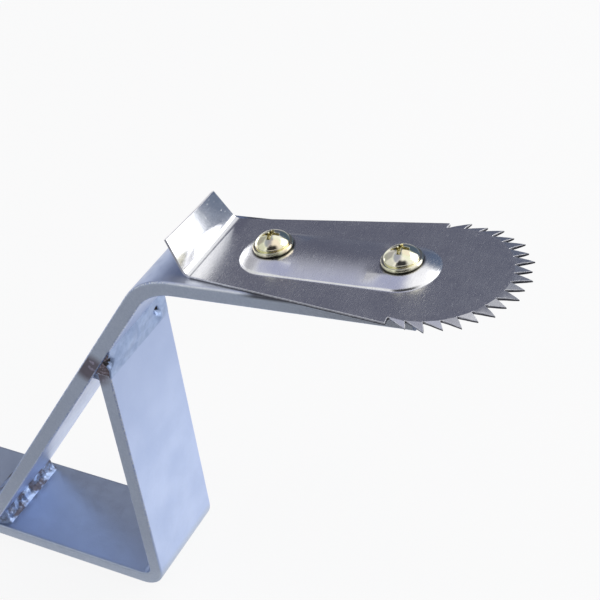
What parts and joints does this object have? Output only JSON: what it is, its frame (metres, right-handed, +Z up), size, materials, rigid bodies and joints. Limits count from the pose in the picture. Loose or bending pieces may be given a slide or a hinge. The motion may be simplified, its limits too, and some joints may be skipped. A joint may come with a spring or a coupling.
{
  "type": "bench-mounted coconut grater",
  "caption": "Toothed steel coconut grating blade screwed to the sloping arm of a welded flat-bar stand with a bench base.",
  "frame": {"origin": "midway between the two bench-screw holes, on the underside of the base", "axes": "+X forward along the base towards the teeth, +Y to the left seen from behind, +Z up"},
  "size_m": [0.3581, 0.0516, 0.1709],
  "materials": {
    "bar_steel": "satin",
    "blade_steel": "fine brushed",
    "zinc_hardware": "bright yellow zinc plating on steel",
    "plain_hardware": "bright zinc plating",
    "weld_steel": "rough weld"
  },
  "bodies": {
    "root": {"base_bar": "bar_steel", "arm_bar": "bar_steel", "grater_blade": "blade_steel", "blade_screws": "zinc_hardware", "spring_washers": "zinc_hardware", "hex_nuts": "plain_hardware", "leg_weld_front": "weld_steel", "leg_weld_rear": "weld_steel", "foot_weld_front": "weld_steel", "foot_weld_rear": "weld_steel"}
  },
  "joints": []
}
